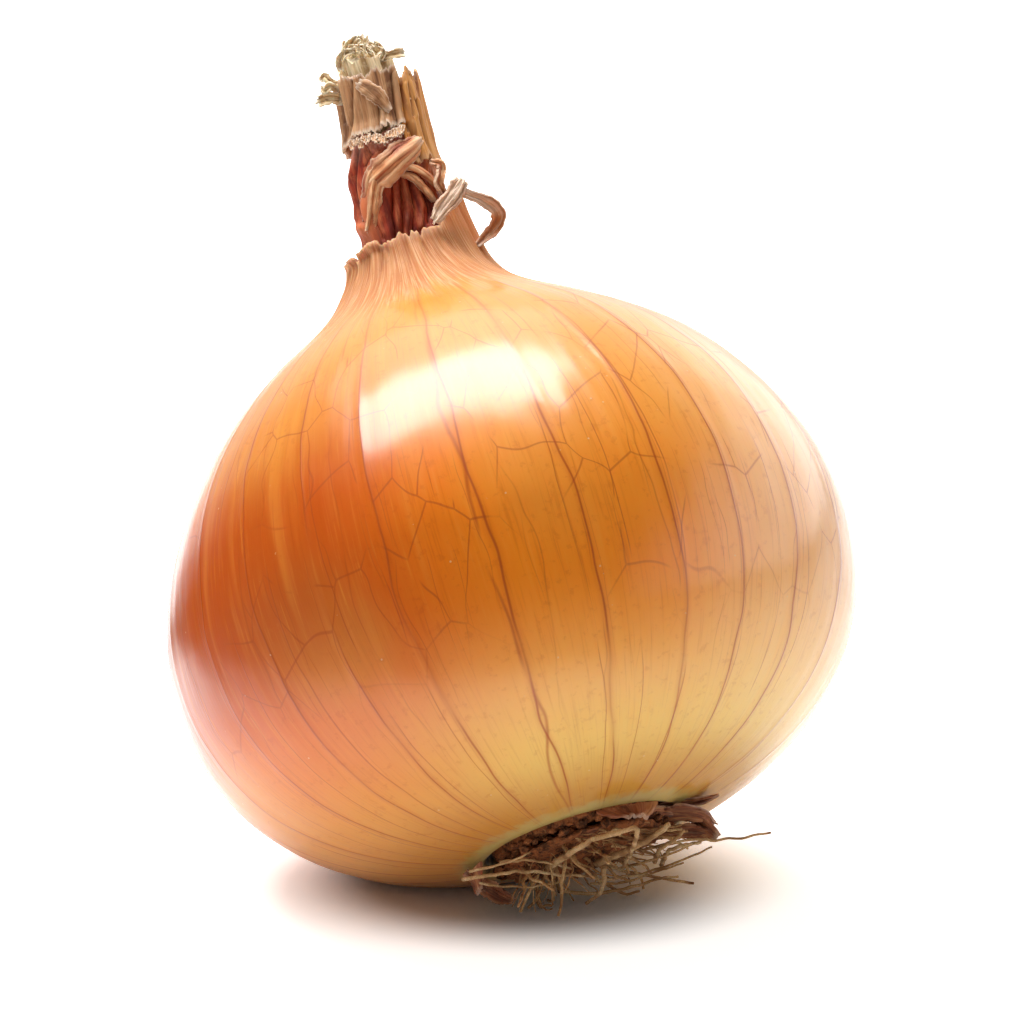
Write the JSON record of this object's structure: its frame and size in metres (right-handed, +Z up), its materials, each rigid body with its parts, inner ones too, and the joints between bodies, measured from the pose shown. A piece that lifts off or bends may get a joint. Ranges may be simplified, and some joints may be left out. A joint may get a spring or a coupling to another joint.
{
  "type": "onion",
  "caption": "Whole dry brown onion in its skin, lying on its belly: ribbed bulb, torn collar, withered neck and a mat of dry roots.",
  "frame": {"origin": "middle of the flat spot that the onion lies on, level with the surface under it", "axes": "+Z is up off the surface, +X runs to the right of the front view and +Y away from the front; the neck leans up, back and a little left, and the root end is turned to the front"},
  "size_m": [0.0793, 0.0775, 0.0925],
  "materials": {
    "golden_skin": "thin glossy dry skin, orange brown, with red-brown veins that run from neck to root",
    "pale_straw": "dry straw-coloured leaf fibre, matt",
    "red_brown_skin": "crumpled dry red-brown leaf, matt with a slight sheen on the folds",
    "tan_skin": "dry tan leaf, fluted and matt",
    "golden_fibre": "dry golden leaf, fibrous and matt",
    "pale_skin": "pale torn papery skin, matt",
    "root_brown": "dark crumbly dried stem plate",
    "root_straw": "dry straw-brown root fibres, matt",
    "flap_skin": "torn red-brown scraps of skin, matt"
  },
  "bodies": {
    "root": {"bulb": "golden_skin", "neck_stub": "pale_straw", "red_sheath": "red_brown_skin", "tan_sheath": "tan_skin", "golden_sheath": "golden_fibre", "skin_curl": "pale_skin", "root_plate": "root_brown", "roots": "root_straw", "skin_flap_right": "flap_skin", "skin_flap_left": "flap_skin", "skin_flap_front": "flap_skin"}
  },
  "joints": []
}
